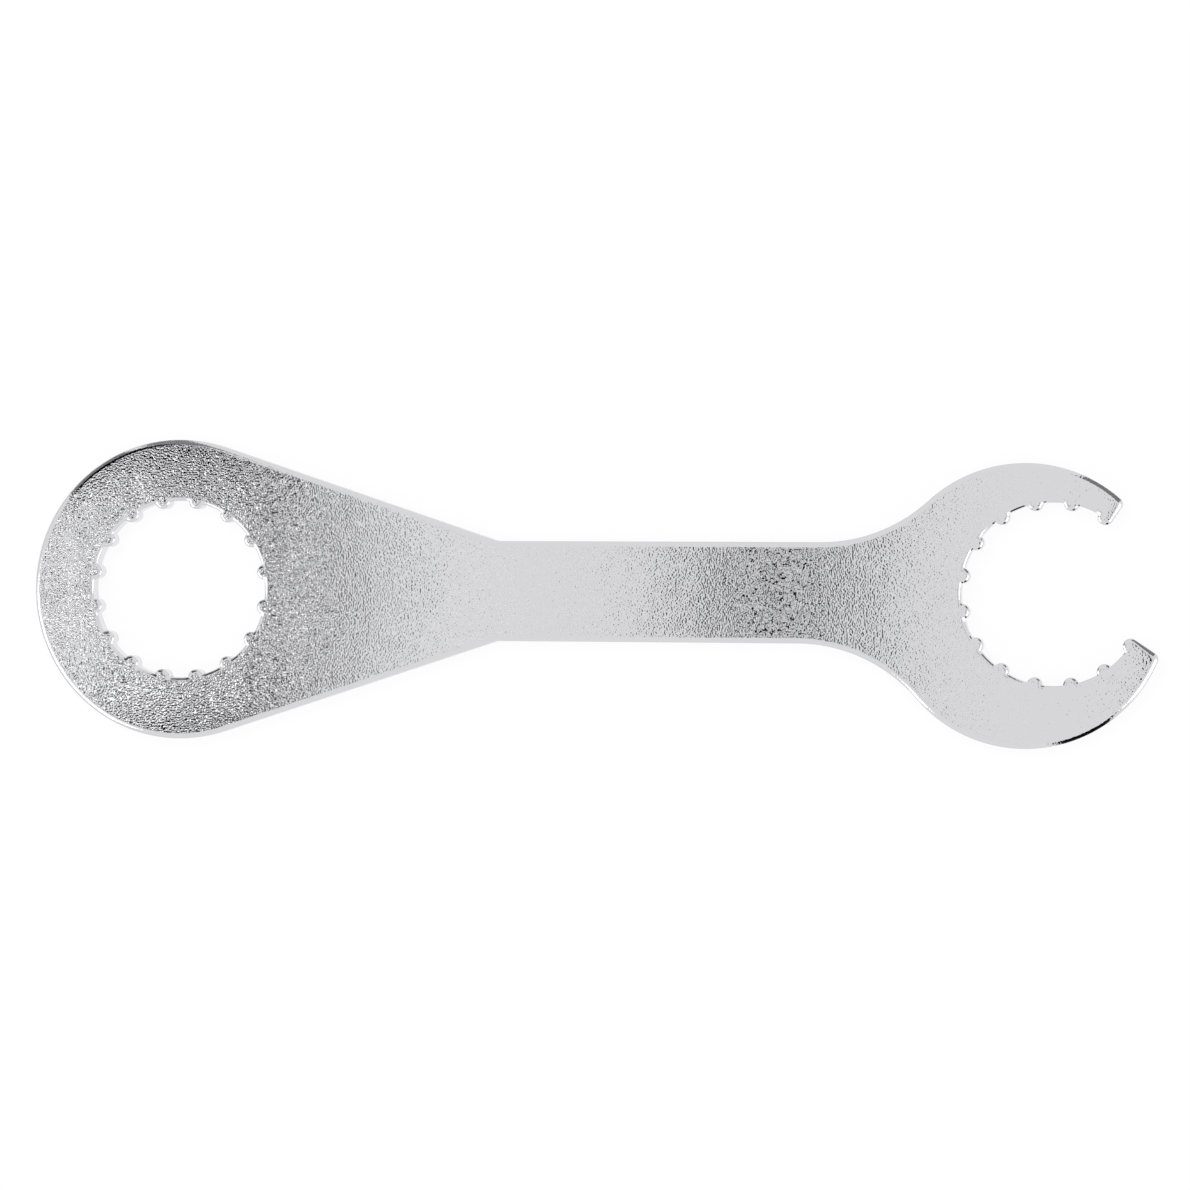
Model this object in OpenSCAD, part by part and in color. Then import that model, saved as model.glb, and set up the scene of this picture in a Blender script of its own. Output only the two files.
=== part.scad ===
// Bottom bracket tool, blanked from one steel plate. A closed ring with a full circle of
// round teeth turns a notched bearing cup, and an open head with part of the same circle
// slips over a cup from the side. The plate lies on its back, with the punched side, whose
// edges are drawn down by the punch, facing up.

/* [Plate] */
// Thickness of the plate
plate_t = 4.5; // [3:0.1:8]
// Width of the drawn-down edge along the outline
edge_w = 1.4; // [0.6:0.1:1.5]
// Drop of the drawn-down edge along the outline
edge_h = 0.6; // [0.2:0.1:1]

/* [Toothed sockets] */
// Diameter across the gaps between the teeth, over a 44 mm cup
socket_d = 44.8; // [43:0.1:46]
// Diameter across the tips of the teeth
tip_d = 41.4; // [40.6:0.1:42]
// Thickness of a tooth, which is round
tooth_d = 3.8; // [3.4:0.1:4.4]
// Teeth in the full circle
tooth_count = 16; // [12:1:20]
// Width of the drawn-down edge of the sockets and teeth
socket_edge_w = 0.9; // [0.4:0.1:1.2]
// Drop of the drawn-down edge of the sockets and teeth
socket_edge_h = 0.45; // [0.2:0.05:0.8]

/* [Closed ring] */
// Outside diameter of the ring
ring_d = 75.6; // [66:0.2:90]

/* [Handle] */
// Distance between the centres of the two sockets
centre_l = 220.2; // [190:0.1:280]
// Width of the handle
handle_w = 25; // [16:0.5:34]
// Distance from the ring's centre to the end of its taper
taper_l = 82; // [60:0.1:100]

/* [Open head] */
// Outside diameter of the head
head_d = 69.8; // [66:0.2:80]
// How far the head's outline sits back from its socket
head_back = 6.9; // [4:0.1:8]
// How far the head's outline sits below its socket
head_drop = 2.9; // [0:0.1:4]
// Radius of the curve from the handle into the head
fillet_r = 39; // [20:1:50]
// Teeth left out at the mouth
mouth_teeth = 3; // [2:1:4]
// Radius of the outer corner of each jaw
corner_r = 1.7; // [1.6:0.1:2.5]

/* [Hidden] */

// Turn between two points of a large arc, and of a tooth or a corner
arc_step = 3;
small_step = 20;
// Levels into which the drawn-down edge is divided
edge_levels = 3;
// How far the cut of the edge reaches into the air beside and above the plate
air = 0.4;

ring_r = ring_d / 2;
head_r = head_d / 2;
socket_r = socket_d / 2;
tooth_r = tooth_d / 2;
half_w = handle_w / 2;
pitch = 360 / tooth_count;
tooth_at = tip_d / 2 + tooth_r;

// Width and drop of the drawn-down edge, round the outline and in the sockets
edge_roll = [edge_w, edge_h];
socket_roll = [socket_edge_w, socket_edge_h];

function along(dir) = [cos(dir), sin(dir)];
function heading(from, to) = atan2(to.y - from.y, to.x - from.x);

// The mouth points half a tooth pitch upwards, midway between its two end teeth
mouth_dir = pitch / 2;
mouth_half = (mouth_teeth + 1) * pitch / 2;

// Taper: a straight line that touches the ring and ends at the handle's edge
taper_end = [taper_l, half_w];
taper_normal = atan2(half_w, taper_l) + acos(ring_r / norm(taper_end));

// Centres, measured from the ring's centre, of the open socket and the head's outline
socket_at = [centre_l, 0];
head_at = [centre_l - head_back, -head_drop];

// Both flanks follow the same rules: side is 1 for the upper and -1 for the lower one
function jaw_dir(side) = mouth_dir + side * mouth_half;
function jaw_facing(side) = jaw_dir(side) - side * 90;

// Centre of the curve from the handle into the head, which touches both
function fillet_y(side) = side * (half_w + fillet_r);
function fillet_x(side) =
    head_at.x - sqrt(pow(head_r + fillet_r, 2) - pow(fillet_y(side) - head_at.y, 2));
function fillet_at(side) = [fillet_x(side), fillet_y(side)];

// A point of a jaw, given by its distance out from the socket's centre along the end
// tooth's axis, and its distance from that axis towards the mouth
function jaw_point(side, out, across) =
    socket_at + out * along(jaw_dir(side)) + across * along(jaw_facing(side));

// Centre of the jaw's outer corner, corner_r from the end face and from the outline
function corner_foot(side) = jaw_point(side, 0, tooth_r - corner_r) - head_at;
function corner_out(side) =
    let (foot = corner_foot(side), run = foot * along(jaw_dir(side)))
    sqrt(run * run - foot * foot + pow(head_r - corner_r, 2)) - run;
function corner_at(side) = jaw_point(side, corner_out(side), tooth_r - corner_r);

// Overall box, measured from the ring's centre
x_max = max(corner_at(1).x, corner_at(-1).x) + corner_r;
y_max = max(ring_r, head_at.y + head_r);
y_min = min(-ring_r, head_at.y - head_r);
box_centre = [(x_max - ring_r) / 2, (y_max + y_min) / 2];

// A rim point holds its place, the direction into the material, and the edge's roll.
// An arc that turns anticlockwise bulges outwards, and one that turns clockwise inwards.
function rim_point(at, inward, roll) = [at, inward, roll];
function arc(centre, r, from, to, step, roll, first = 0, last = 0) =
    let (count = ceil(abs(to - from) / step), turn = (to - from) / count)
    [for (i = [first:count - last])
        let (out = along(from + i * turn))
        rim_point(centre + r * out, (to > from ? -1 : 1) * out, roll)];

// A sharp corner between two edges, with the direction that keeps equal distance to both
function corner(at, inward_a, inward_b, roll) =
    [rim_point(at, (inward_a + inward_b) / (1 + inward_a * inward_b), roll)];

// Where a tooth meets the circle of its gaps: half its angle at the socket's centre, and
// the turn from the tooth's axis at the tooth's own centre
root_half = acos((pow(socket_r, 2) + pow(tooth_at, 2) - pow(tooth_r, 2))
                 / (2 * socket_r * tooth_at));
root_turn = heading([tooth_at, 0], socket_r * along(root_half));

function root_in(centre, dir) =
    corner(centre + socket_r * along(dir + root_half), along(dir + root_half),
           -along(dir + root_turn), socket_roll);
function root_out(centre, dir) =
    corner(centre + socket_r * along(dir - root_half), -along(dir - root_turn),
           along(dir - root_half), socket_roll);
function tooth_arc(centre, dir, from, to, first, last) =
    arc(centre + tooth_at * along(dir), tooth_r, dir + from, dir + to, small_step,
        socket_roll, first, last);
function whole_tooth(centre, dir) =
    concat(root_in(centre, dir), tooth_arc(centre, dir, root_turn, 360 - root_turn, 1, 1),
           root_out(centre, dir));

// The gap that follows a tooth, clockwise
function gap(centre, dir) =
    arc(centre, socket_r, dir - root_half, dir - pitch + root_half, arc_step, socket_roll,
        1, 1);
function teeth_and_gaps(centre, first_dir, count) =
    [for (i = [0:count - 1])
        each concat(whole_tooth(centre, first_dir - i * pitch),
                    gap(centre, first_dir - i * pitch))];

// Rim of the closed socket, and of the tool's outline with the open socket in it
socket_rim = teeth_and_gaps([0, 0], pitch / 2, tooth_count);

function taper_corner(side) =
    let (taper_in = -[cos(taper_normal), side * sin(taper_normal)], handle_in = [0, -side])
    corner([taper_end.x, side * taper_end.y], side > 0 ? handle_in : taper_in,
           side > 0 ? taper_in : handle_in, edge_roll);

open_teeth = tooth_count - mouth_teeth;
lower_dir = jaw_dir(-1);
upper_dir = jaw_dir(1) - 360;
open_socket_rim = concat(
    tooth_arc(socket_at, lower_dir, 90, 360 - root_turn, 0, 1),
    root_out(socket_at, lower_dir),
    gap(socket_at, lower_dir),
    teeth_and_gaps(socket_at, lower_dir - pitch, open_teeth - 2),
    root_in(socket_at, upper_dir),
    tooth_arc(socket_at, upper_dir, root_turn, 270, 1, 0)
);

lower_corner = heading(head_at, corner_at(-1));
upper_corner = heading(head_at, corner_at(1));
lower_fillet = heading(head_at, fillet_at(-1));
upper_fillet = heading(head_at, fillet_at(1));
outline_rim = concat(
    arc([0, 0], ring_r, taper_normal, 360 - taper_normal, arc_step, edge_roll),
    taper_corner(-1),
    arc(fillet_at(-1), fillet_r, 90, lower_fillet + 180, arc_step, edge_roll, 0, 1),
    arc(head_at, head_r, lower_fillet, lower_corner, arc_step, edge_roll, 0, 1),
    arc(corner_at(-1), corner_r, lower_corner, jaw_facing(-1), small_step, edge_roll),
    open_socket_rim,
    arc(corner_at(1), corner_r, jaw_facing(1), upper_corner, small_step, edge_roll, 0, 1),
    arc(head_at, head_r, upper_corner, upper_fillet, arc_step, edge_roll, 0, 1),
    arc(fillet_at(1), fillet_r, upper_fillet - 180, -90, arc_step, edge_roll),
    taper_corner(1)
);

// Drop of the edge below the face, at a share of its width in from the rim: the edge is
// part of a circle that touches the face
function edge_drop(roll, share) =
    let (radius = (roll[0] * roll[0] + roll[1] * roll[1]) / (2 * roll[1]))
    radius - sqrt(pow(radius, 2) - pow(roll[0] * (1 - share), 2));

// Section of what the punch draws away from the edge: the curve from the wall to the face,
// then a way round through the air, as distances in from the wall and heights
function edge_section(roll) = concat(
    [for (i = [0:edge_levels])
        let (share = i / edge_levels)
        [share * roll[0], plate_t - edge_drop(roll, share)]],
    [[roll[0], plate_t + air], [-air, plate_t + air]]
);
function edge_points(p) =
    [for (q = edge_section(p[2]))
        let (at = p[0] + q[0] * p[1])
        [at.x, at.y, q[1]]];

// Band that runs once round a rim and takes its edge off
module edge_band(rim) {
    sides = edge_levels + 3;
    count = len(rim) * sides;
    faces = [for (i = [0:len(rim) - 1], k = [0:sides - 1])
        let (near = i * sides, far = (near + sides) % count, next = (k + 1) % sides)
        each [[near + k, far + k, near + next], [near + next, far + k, far + next]]];
    polyhedron(points = [for (p = rim) each edge_points(p)], faces = faces);
}

module blank() {
    linear_extrude(height = plate_t)
        difference() {
            polygon([for (p = outline_rim) p[0]]);
            polygon([for (p = socket_rim) p[0]]);
        }
}

module wrench_plate() {
    color("#d2d4d6")
        translate([-box_centre.x, -box_centre.y, 0])
            difference() {
                blank();
                edge_band(outline_rim);
                edge_band(socket_rim);
            }
}

wrench_plate();
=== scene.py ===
"""Dresses the bottom bracket tool and sets it in a plain studio.

The tool is one blanked steel plate, so the scene has one piece: the plate with its edges
eased by tumbling, in bright plated steel whose faces keep the grain of the blasted sheet.
"""

import logging
from collections.abc import Callable
from dataclasses import dataclass, field
from enum import Enum
from math import cos, pi, radians, sin

import bmesh
import bpy
from mathutils import Matrix, Vector

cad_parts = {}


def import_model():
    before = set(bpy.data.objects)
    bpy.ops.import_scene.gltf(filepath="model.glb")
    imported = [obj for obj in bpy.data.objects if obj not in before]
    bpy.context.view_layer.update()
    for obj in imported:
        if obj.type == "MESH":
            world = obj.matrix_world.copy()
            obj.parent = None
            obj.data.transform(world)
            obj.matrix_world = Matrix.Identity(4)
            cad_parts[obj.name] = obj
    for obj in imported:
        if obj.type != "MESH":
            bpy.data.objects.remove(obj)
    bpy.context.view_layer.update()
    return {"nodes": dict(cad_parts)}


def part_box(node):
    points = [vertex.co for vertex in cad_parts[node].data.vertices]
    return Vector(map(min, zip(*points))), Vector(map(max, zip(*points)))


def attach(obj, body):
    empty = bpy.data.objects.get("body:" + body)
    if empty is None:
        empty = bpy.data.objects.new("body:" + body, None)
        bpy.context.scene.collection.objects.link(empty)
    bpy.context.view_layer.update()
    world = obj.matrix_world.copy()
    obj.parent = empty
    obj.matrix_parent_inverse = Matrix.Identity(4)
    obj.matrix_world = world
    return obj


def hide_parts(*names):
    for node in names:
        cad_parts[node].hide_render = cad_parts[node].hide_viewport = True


MM = 0.001

log = logging.getLogger("bottom_bracket_tool")


# Colours and nodes


def linear(hex_colour: str) -> tuple[float, float, float, float]:
    """Turn an sRGB hex colour into the linear colour that Blender expects.

    Args:
        hex_colour: Six hex digits after a hash sign.

    Returns:
        Linear red, green and blue, and an alpha of one.
    """
    parts = [int(hex_colour[i : i + 2], 16) / 255 for i in (1, 3, 5)]
    red, green, blue = (c / 12.92 if c <= 0.04045 else ((c + 0.055) / 1.055) ** 2.4 for c in parts)
    return red, green, blue, 1.0


def add_node(
    tree: bpy.types.NodeTree,
    kind: str,
    settings: dict[str, object] | None = None,
    inputs: dict[str | int, object] | None = None,
) -> bpy.types.Node:
    """Add a node with its settings, values and links.

    Args:
        tree: The node tree that gets the node.
        kind: The node's type name.
        settings: Properties of the node, by name.
        inputs: Values or output sockets for its inputs, by name or number.

    Returns:
        The new node.
    """
    node = tree.nodes.new(kind)
    for name, value in (settings or {}).items():
        setattr(node, name, value)
    for key, value in (inputs or {}).items():
        if isinstance(value, bpy.types.NodeSocket):
            tree.links.new(value, node.inputs[key])
        else:
            node.inputs[key].default_value = value
    return node


def new_material(name: str) -> tuple[bpy.types.Material, bpy.types.NodeTree]:
    """Make an empty node material.

    Args:
        name: The material's name.

    Returns:
        The material and its node tree.
    """
    material = bpy.data.materials.new(name)
    material.use_nodes = True
    material.node_tree.nodes.clear()
    return material, material.node_tree


# Finish


@dataclass(frozen=True)
class PlatedSteel:
    """Bright nickel plating over a blanked and shot-blasted steel plate.

    The plating is thin and glossy, so it keeps the shape of what is under it: the blasted
    faces break every reflection into fine dark and light grains, while the edge that the
    punch drew down, and the sheared wall below it, are smooth and reflect in one piece.
    """

    name: str = "bright_nickel_plated_steel"
    # Nickel plate is a cool light grey metal
    colour: str = "#e5e5e8"
    roughness: float = 0.03
    wall_roughness: float = 0.2
    # The blasted grain is about 0.9 mm from one hollow to the next, and some microns deep
    grain_size: float = 0.44 * MM
    grain_depth: float = 0.0215 * MM
    # The rolled sheet is flat to a few microns over some millimetres
    wave_size: float = 9 * MM
    wave_depth: float = 0.035 * MM
    # Shearing leaves upright lines in the wall
    shear_size: float = 0.5 * MM
    shear_depth: float = 0.012 * MM
    # The grain fades out where the surface leaves the level of the face by this much
    grain_starts_z: float = 0.66
    grain_full_z: float = 0.955

    def build(self) -> bpy.types.Material:
        """Make the material.

        Returns:
            The finished material.
        """
        material, tree = new_material(self.name)
        place = add_node(tree, "ShaderNodeTexCoord")
        level = self._level_share(tree, place)
        grain = self._grain(tree, place)
        shear = self._shear(tree, place)

        wave = add_node(
            tree,
            "ShaderNodeTexNoise",
            inputs={"Vector": place.outputs["Object"], "Scale": 1 / self.wave_size, "Detail": 1.0},
        )
        wave_bump = add_node(
            tree,
            "ShaderNodeBump",
            inputs={"Strength": 1.0, "Distance": self.wave_depth, "Height": wave.outputs["Fac"]},
        )
        shear_bump = add_node(
            tree,
            "ShaderNodeBump",
            inputs={
                "Strength": self._share_left(tree, level),
                "Distance": self.shear_depth,
                "Height": shear,
                "Normal": wave_bump.outputs["Normal"],
            },
        )
        grain_bump = add_node(
            tree,
            "ShaderNodeBump",
            inputs={
                "Strength": level,
                "Distance": self.grain_depth,
                "Height": grain,
                "Normal": shear_bump.outputs["Normal"],
            },
        )
        roughness = add_node(
            tree,
            "ShaderNodeMapRange",
            inputs={"Value": level, "To Min": self.wall_roughness, "To Max": self.roughness},
        )
        shader = add_node(
            tree,
            "ShaderNodeBsdfPrincipled",
            inputs={
                "Base Color": linear(self.colour),
                "Metallic": 1.0,
                "Roughness": roughness.outputs["Result"],
                "Normal": grain_bump.outputs["Normal"],
            },
        )
        add_node(
            tree, "ShaderNodeOutputMaterial", inputs={"Surface": shader.outputs["BSDF"]}
        )
        return material

    def _level_share(
        self, tree: bpy.types.NodeTree, place: bpy.types.Node
    ) -> bpy.types.NodeSocket:
        """Give one on the two faces and zero on the drawn-down edge and the walls."""
        axes = add_node(
            tree, "ShaderNodeSeparateXYZ", inputs={"Vector": place.outputs["Normal"]}
        )
        steepness = add_node(
            tree, "ShaderNodeMath", {"operation": "ABSOLUTE"}, {0: axes.outputs["Z"]}
        )
        share = add_node(
            tree,
            "ShaderNodeMapRange",
            {"interpolation_type": "SMOOTHSTEP"},
            {
                "Value": steepness.outputs["Value"],
                "From Min": self.grain_starts_z,
                "From Max": self.grain_full_z,
            },
        )
        return share.outputs["Result"]

    def _share_left(
        self, tree: bpy.types.NodeTree, share: bpy.types.NodeSocket
    ) -> bpy.types.NodeSocket:
        """Give one less the share."""
        rest = add_node(tree, "ShaderNodeMath", {"operation": "SUBTRACT"}, {0: 1.0, 1: share})
        return rest.outputs["Value"]

    def _grain(
        self, tree: bpy.types.NodeTree, place: bpy.types.Node
    ) -> bpy.types.NodeSocket:
        """Give the height of the blasted grain, from zero to one."""
        noise = add_node(
            tree,
            "ShaderNodeTexNoise",
            inputs={
                "Vector": place.outputs["Object"],
                "Scale": 1 / self.grain_size,
                "Detail": 0.0,
            },
        )
        return noise.outputs["Fac"]

    def _shear(
        self, tree: bpy.types.NodeTree, place: bpy.types.Node
    ) -> bpy.types.NodeSocket:
        """Give the height of the shear lines, which run up the wall."""
        flat = add_node(
            tree,
            "ShaderNodeMapping",
            inputs={"Vector": place.outputs["Object"], "Scale": (1.0, 1.0, 0.06)},
        )
        noise = add_node(
            tree,
            "ShaderNodeTexNoise",
            inputs={
                "Vector": flat.outputs["Vector"],
                "Scale": 1 / self.shear_size,
                "Detail": 2.0,
            },
        )
        return noise.outputs["Fac"]


# The tool


@dataclass
class WrenchPlate:
    """The plate, taken from its solid, with its hard edges eased as by tumbling."""

    node: str = "wrench_plate"
    slot: str = "plated_steel"
    finish: PlatedSteel = field(default_factory=PlatedSteel)
    # Radius that tumbling leaves where the walls end
    eased_edge: float = 0.15 * MM
    eased_segments: int = 3
    # Edges that turn by more than this are hard
    hard_angle: float = radians(30)
    # Smallest share of an edge's direction that is level, for it to be eased
    level_share: float = 0.5
    merge_distance: float = 0.0005 * MM

    def build(self, source: bpy.types.Object) -> bpy.types.Object:
        """Build the dressed plate over its solid.

        Args:
            source: The solid's object.

        Returns:
            The finished piece.
        """
        mesh = bpy.data.meshes.new("plate")
        shape = bmesh.new()
        shape.from_mesh(source.data)
        bmesh.ops.remove_doubles(shape, verts=shape.verts, dist=self.merge_distance)
        bmesh.ops.dissolve_degenerate(shape, edges=shape.edges, dist=self.merge_distance)
        bmesh.ops.bevel(
            shape,
            geom=self._hard_rims(shape),
            affect="EDGES",
            offset=self.eased_edge,
            offset_type="OFFSET",
            segments=self.eased_segments,
            profile=0.5,
            material=-1,
            clamp_overlap=True,
        )
        shape.to_mesh(mesh)
        shape.free()
        mesh.shade_smooth()
        mesh.set_sharp_from_angle(angle=self.hard_angle)
        mesh.materials.append(self.finish.build())
        piece = bpy.data.objects.new("plate", mesh)
        bpy.context.scene.collection.objects.link(piece)
        weights = piece.modifiers.new("even_faces", "WEIGHTED_NORMAL")
        weights.weight = 100
        weights.keep_sharp = True
        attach(piece, "root")
        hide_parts(self.node)
        log.info("%s: %d faces over %s", piece.name, len(mesh.polygons), self.node)
        return piece

    def _hard_rims(self, shape: bmesh.types.BMesh) -> list[bmesh.types.BMEdge]:
        """List the outward edges between the walls and what meets them above and below."""
        rims = []
        for edge in shape.edges:
            run = edge.verts[1].co - edge.verts[0].co
            level = run.xy.length > self.level_share * run.length
            if level and edge.is_convex and edge.calc_face_angle(0.0) > self.hard_angle:
                rims.append(edge)
        return rims


# Studio


BLACK = "#0c0c0c"
GREY = "#efefef"
DIM = "#8c8c8c"


class Ray(Enum):
    """Kinds of ray that a backdrop answers with plain white."""

    CAMERA = "Is Camera Ray"
    GLOSSY = "Is Glossy Ray"
    TRANSMISSION = "Is Transmission Ray"


def white_share(tree: bpy.types.NodeTree, share: float) -> bpy.types.NodeSocket:
    """Give the share for rays that should see the white background, and zero for others.

    Args:
        tree: The node tree of the floor or the world.
        share: What those rays get.

    Returns:
        The socket with the share.
    """
    path = add_node(tree, "ShaderNodeLightPath")
    flags = [path.outputs[ray.value] for ray in Ray]
    either = flags[0]
    for flag in flags[1:]:
        either = add_node(
            tree, "ShaderNodeMath", {"operation": "MAXIMUM"}, {0: either, 1: flag}
        ).outputs["Value"]
    scaled = add_node(tree, "ShaderNodeMath", {"operation": "MULTIPLY"}, {0: either, 1: share})
    return scaled.outputs["Value"]


@dataclass(frozen=True)
class Panel:
    """A flat panel that faces the plate: a dark card, or a soft box.

    Its place is given by where it stands round the plate, and how high above it.
    """

    name: str
    # Compass direction from +X towards +Y, and height above the horizon, in degrees
    azimuth: float
    elevation: float
    distance: float
    width: float
    height: float
    colour: str = BLACK
    # Point of the plate that the panel faces
    target_x: float = 0.0

    def place(self) -> Matrix:
        """Give the panel's place, with its -Z side towards the plate."""
        azimuth, elevation = radians(self.azimuth), radians(self.elevation)
        away = Vector(
            (cos(azimuth) * cos(elevation), sin(azimuth) * cos(elevation), sin(elevation))
        )
        centre = Vector((self.target_x, 0.0, 0.0)) + self.distance * away
        return Matrix.Translation(centre) @ away.to_track_quat("Z", "Y").to_matrix().to_4x4()


@dataclass(frozen=True)
class Overhead:
    """A level panel high over the plate, placed by the part of the face that mirrors it."""

    name: str
    # Part of the face, along and across the plate, in millimetres
    along: tuple[float, float]
    across: tuple[float, float]
    colour: str = BLACK
    height: float = 0.9

    def corners(self, eye: Vector) -> tuple[Vector, Vector]:
        """Find where the panel hangs.

        Args:
            eye: Where the camera stands.

        Returns:
            Its low and its high corner.
        """
        reach = self.height / eye.z
        found = []
        for end in (0, 1):
            seen = Vector((self.along[end], self.across[end])) * MM
            found.append((seen + (seen - eye.xy) * reach).to_3d() + Vector((0, 0, self.height)))
        return found[0], found[1]


@dataclass
class Studio:
    """White floor and sky, one soft lamp, and the dark cards that the plating reflects."""

    floor_size: float = 6.0
    floor_drop: float = 0.2 * MM
    floor_colour: str = "#f4f4f4"
    # Share of plain white in what the camera sees of the floor
    floor_white: float = 0.9
    # Light from the room beyond the paper, from the sky above it, and from overhead
    room_strength: float = 0.72
    sky_strength: float = 0.87
    overhead_strength: float = 0.86
    key_power: float = 4.0
    key: Panel = Panel("key_light", 120.0, 55.0, 1.3, 0.6, 0.6)
    # Light of the soft box that the ring mirrors, in watts to the square metre
    glow: float = 4.0
    soft_box: Overhead = Overhead("soft_box", (-146.0, -94.0), (-50.0, 50.0), height=0.92)
    # Soft boxes beside the tool, which its left and right edges mirror, and their light
    side_glow: float = 5.0
    side_boxes: tuple[Panel, ...] = (
        Panel("soft_box_left", 205.0, 35.0, 1.1, 0.9, 0.5, target_x=-0.104),
        Panel("soft_box_right", -22.0, 38.0, 1.1, 0.75, 0.5, target_x=0.109),
    )
    cards: tuple[Panel, ...] = (
        Panel("card_behind_ring", 136.0, 50.0, 0.172, 0.07, 0.085, target_x=-0.104),
        Panel("grey_behind_ring", 136.0, 22.0, 0.172, 0.07, 0.085, "#808080", -0.104),
        Panel("card_above_ring", 108.0, 35.5, 0.172, 0.056, 0.17, DIM, -0.104),
        Panel("card_before_jaw", -67.5, 23.5, 0.15, 0.06, 0.12, target_x=0.109),
        Panel("card_above_jaw", 52.0, 28.5, 0.146, 0.08, 0.12, "#808080", 0.109),
    )
    overheads: tuple[Overhead, ...] = (
        Overhead("card_over_handle", (39.0, 58.0), (-45.0, 45.0)),
        Overhead("grey_over_handle", (15.0, 82.0), (-45.0, 45.0), "#e7e7e7", 0.91),
        Overhead("grey_over_taper", (-86.0, -36.0), (-50.0, 50.0), GREY, 0.91),
        Overhead("card_over_ring_right_1", (-86.5, -74.0), (-24.0, 24.0)),
        Overhead("card_over_ring_right_2", (-69.5, -60.5), (-24.0, 24.0)),
        Overhead("card_over_ring_top", (-140.0, -68.0), (31.5, 66.0)),
        Overhead("card_over_ring_bottom", (-140.0, -68.0), (-68.0, -33.5)),
        Overhead("card_beside_camera", (163.0, 203.0), (-40.0, 52.0)),
        Overhead("card_over_ring_left_1", (-143.0, -133.0), (-24.0, 24.0)),
        Overhead("card_over_ring_left_2", (-128.5, -114.0), (-24.0, 24.0)),
        Overhead("card_over_ring_left_3", (-107.5, -96.0), (-24.0, 24.0)),
    )

    def build(self) -> None:
        """Build the floor, the sky, the lamps and the cards."""
        self._floor()
        self._sky()
        self._lamp(self.key.name, self.key.width, self.key.height, self.key.place(), self.key_power)
        eye = bpy.context.scene.camera.matrix_world.translation
        for card in self.cards:
            self._card(card.name, card.width, card.height, card.place(), card.colour)
        for card in self.overheads:
            low, high = card.corners(eye)
            size = high - low
            place = Matrix.Translation((low + high) / 2)
            self._card(card.name, size.x, size.y, place, card.colour)
        for box in self.side_boxes:
            power = self.side_glow * box.width * box.height
            lamp = self._lamp(box.name, box.width, box.height, box.place(), power)
            lamp.visible_glossy = True
        low, high = self.soft_box.corners(eye)
        size = high - low
        box = self._lamp(
            self.soft_box.name,
            size.x,
            size.y,
            Matrix.Translation((low + high) / 2 + Vector((0, 0, 0.01))),
            self.glow * size.x * size.y,
        )
        box.visible_glossy = True

    def _sheet(
        self, name: str, width: float, height: float, place: Matrix, material: bpy.types.Material
    ) -> bpy.types.Object:
        """Make a flat sheet as a stage object.

        Args:
            name: The sheet's name.
            width: Its size across.
            height: Its size upwards.
            place: Where it stands.
            material: Its material.

        Returns:
            The sheet.
        """
        mesh = bpy.data.meshes.new(name)
        shape = bmesh.new()
        bmesh.ops.create_grid(shape, x_segments=1, y_segments=1, size=0.5)
        bmesh.ops.scale(shape, vec=(width, height, 1.0), verts=shape.verts)
        bmesh.ops.transform(shape, matrix=place, verts=shape.verts)
        shape.to_mesh(mesh)
        shape.free()
        mesh.materials.append(material)
        sheet = bpy.data.objects.new(name, mesh)
        bpy.context.scene.collection.objects.link(sheet)
        return sheet

    def _card(self, name: str, width: float, height: float, place: Matrix, colour: str) -> None:
        """Hang a card that only reflections see."""
        material, tree = new_material(f"matt_card_{colour[1:]}")
        shader = add_node(tree, "ShaderNodeBsdfDiffuse", inputs={"Color": linear(colour)})
        add_node(tree, "ShaderNodeOutputMaterial", inputs={"Surface": shader.outputs["BSDF"]})
        sheet = self._sheet(name, width, height, place, material)
        sheet.visible_camera = False
        sheet.visible_diffuse = False
        sheet.visible_shadow = False
        sheet.visible_transmission = False

    def _floor(self) -> None:
        """Lay the floor, which looks white and keeps the tool's shadow."""
        material, tree = new_material("white_paper_floor")
        paper = add_node(
            tree, "ShaderNodeBsdfDiffuse", inputs={"Color": linear(self.floor_colour)}
        )
        white = add_node(tree, "ShaderNodeEmission", inputs={"Strength": 1.0})
        mix = add_node(
            tree,
            "ShaderNodeMixShader",
            inputs={
                0: white_share(tree, self.floor_white),
                1: paper.outputs["BSDF"],
                2: white.outputs["Emission"],
            },
        )
        add_node(tree, "ShaderNodeOutputMaterial", inputs={"Surface": mix.outputs["Shader"]})
        place = Matrix.Translation((0.0, 0.0, -self.floor_drop))
        self._sheet("floor", self.floor_size, self.floor_size, place, material)

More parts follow.
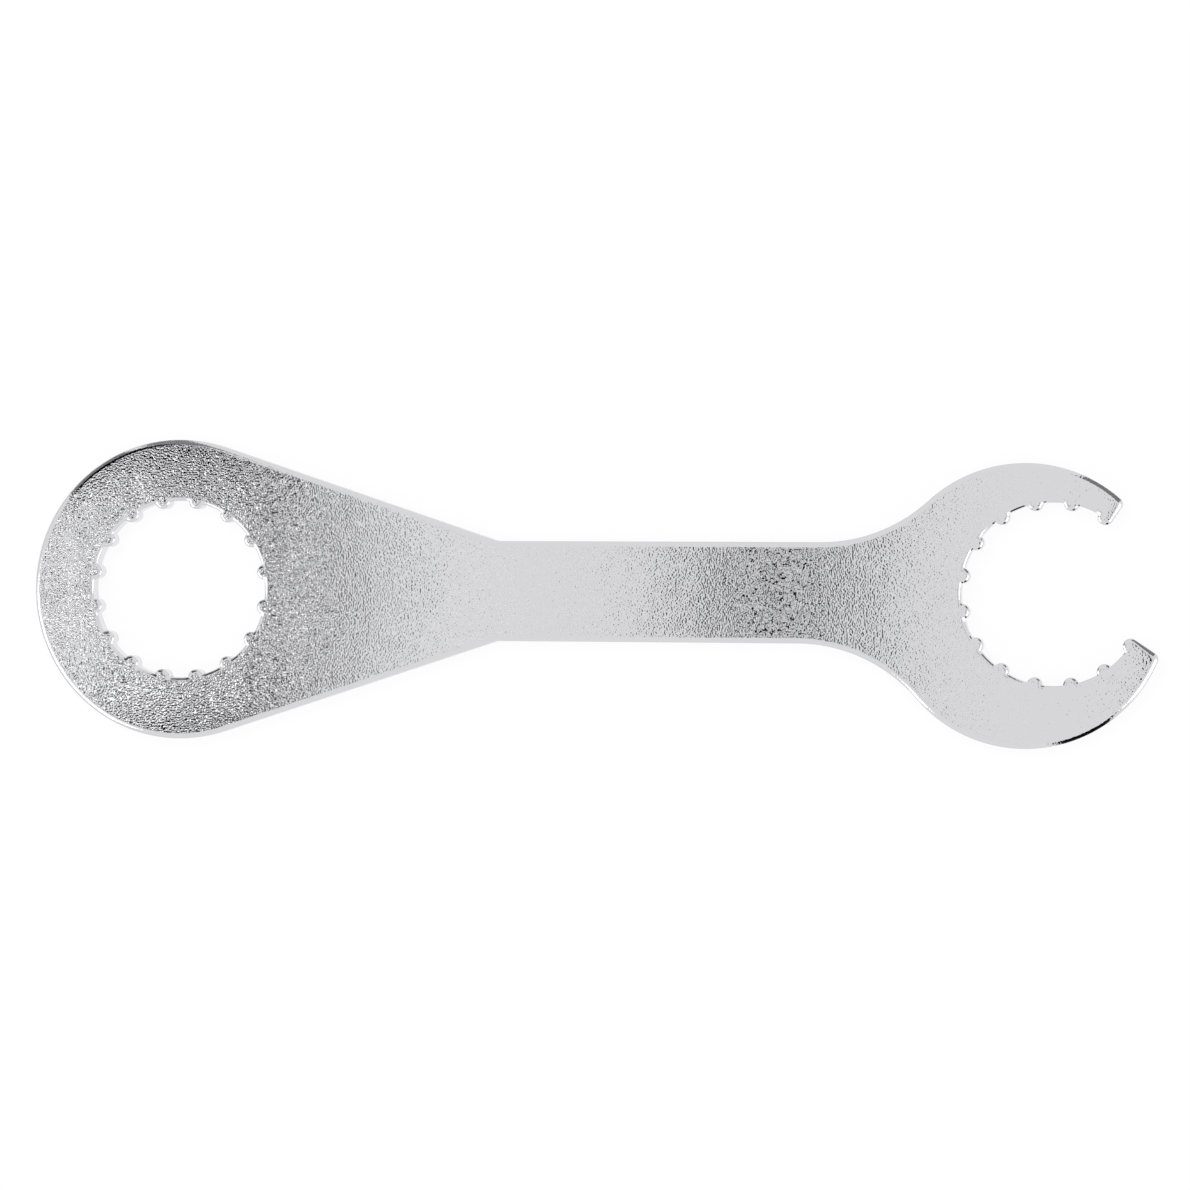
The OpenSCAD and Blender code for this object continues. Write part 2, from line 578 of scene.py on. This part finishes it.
    def _sky(self) -> None:
        """Set the even white sky."""
        world = bpy.data.worlds.new("studio_sky")
        world.use_nodes = True
        tree = world.node_tree
        tree.nodes.clear()
        place = add_node(tree, "ShaderNodeTexCoord")
        axes = add_node(
            tree, "ShaderNodeSeparateXYZ", inputs={"Vector": place.outputs["Generated"]}
        )
        above_room = add_node(
            tree,
            "ShaderNodeMapRange",
            {"interpolation_type": "SMOOTHSTEP"},
            {
                "Value": axes.outputs["Z"],
                "From Min": 0.1,
                "From Max": 0.3,
                "To Min": self.room_strength,
                "To Max": self.sky_strength,
            },
        )
        fade = add_node(
            tree,
            "ShaderNodeMapRange",
            inputs={
                "Value": axes.outputs["Z"],
                "From Min": 0.5,
                "From Max": 0.95,
                "To Min": above_room.outputs["Result"],
                "To Max": self.overhead_strength,
            },
        )
        path = add_node(tree, "ShaderNodeLightPath")
        strength = add_node(
            tree,
            "ShaderNodeMix",
            inputs={
                "Factor": path.outputs[Ray.CAMERA.value],
                "A": fade.outputs["Result"],
                "B": 1.0,
            },
        )
        sky = add_node(
            tree,
            "ShaderNodeBackground",
            inputs={"Color": (1.0, 1.0, 1.0, 1.0), "Strength": strength.outputs["Result"]},
        )
        add_node(tree, "ShaderNodeOutputWorld", inputs={"Surface": sky.outputs["Background"]})
        bpy.context.scene.world = world

    def _lamp(
        self, name: str, width: float, height: float, place: Matrix, power: float
    ) -> bpy.types.Object:
        """Hang a soft lamp that shows in no reflection."""
        lamp = bpy.data.lights.new(name, "AREA")
        lamp.shape = "RECTANGLE"
        lamp.size = width
        lamp.size_y = height
        lamp.energy = power
        holder = bpy.data.objects.new(name, lamp)
        holder.matrix_world = place
        holder.visible_glossy = False
        bpy.context.scene.collection.objects.link(holder)
        return holder


@dataclass(frozen=True)
class PhotoCamera:
    """The camera that took the photograph, as fitted to the plate's outline.

    It looks down on the plate from above the jaw's end, turned a little towards the ring.
    """

    frame_px: float = 1190.0
    sensor_mm: float = 36.0
    distance: float = 1.0
    # Pixels to a millimetre where the line of sight meets the plate's face
    scale_px: float = 4.026
    # Turn about the plate's short way and about the line of sight, in degrees
    yaw: float = 10.0
    roll: float = -0.352
    # Point of the plate at the middle of the frame, and that point's row in the photograph
    aim_x: float = 3.045 * MM
    aim_row: float = 591.54

    def build(self, face_height: float) -> bpy.types.Object:
        """Set up the camera.

        Args:
            face_height: Height of the plate's upper face.

        Returns:
            The camera object.
        """
        data = bpy.data.cameras.new("photo_camera")
        data.sensor_width = self.sensor_mm
        focal_px = self.scale_px * self.distance / MM
        data.lens = focal_px / self.frame_px * self.sensor_mm
        data.clip_start = 0.01
        turn = Matrix.Rotation(radians(self.yaw), 4, "Y") @ Matrix.Rotation(
            radians(-self.roll), 4, "Z"
        )
        drop = (self.frame_px / 2 - self.aim_row) / self.scale_px * MM
        aim = Vector((self.aim_x, 0.0, face_height))
        place = aim + turn.to_3x3() @ Vector((0.0, -drop, self.distance))
        camera = bpy.data.objects.new("photo_camera", data)
        camera.matrix_world = Matrix.Translation(place) @ turn
        bpy.context.scene.collection.objects.link(camera)
        bpy.context.scene.camera = camera
        log.info("camera at %s with a %.1f mm lens", tuple(round(v, 4) for v in place), data.lens)
        return camera


def main() -> None:
    """Build the camera, the plate and the studio, and note the sizes."""
    logging.basicConfig(level=logging.INFO, format="%(name)s: %(message)s")
    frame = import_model()
    plate = WrenchPlate()
    PhotoCamera().build(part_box(plate.node)[1].z)
    plate.build(frame["nodes"][plate.node])
    Studio().build()
    bpy.context.scene.view_settings.view_transform = "Standard"


if __name__ == "__main__":
    main()
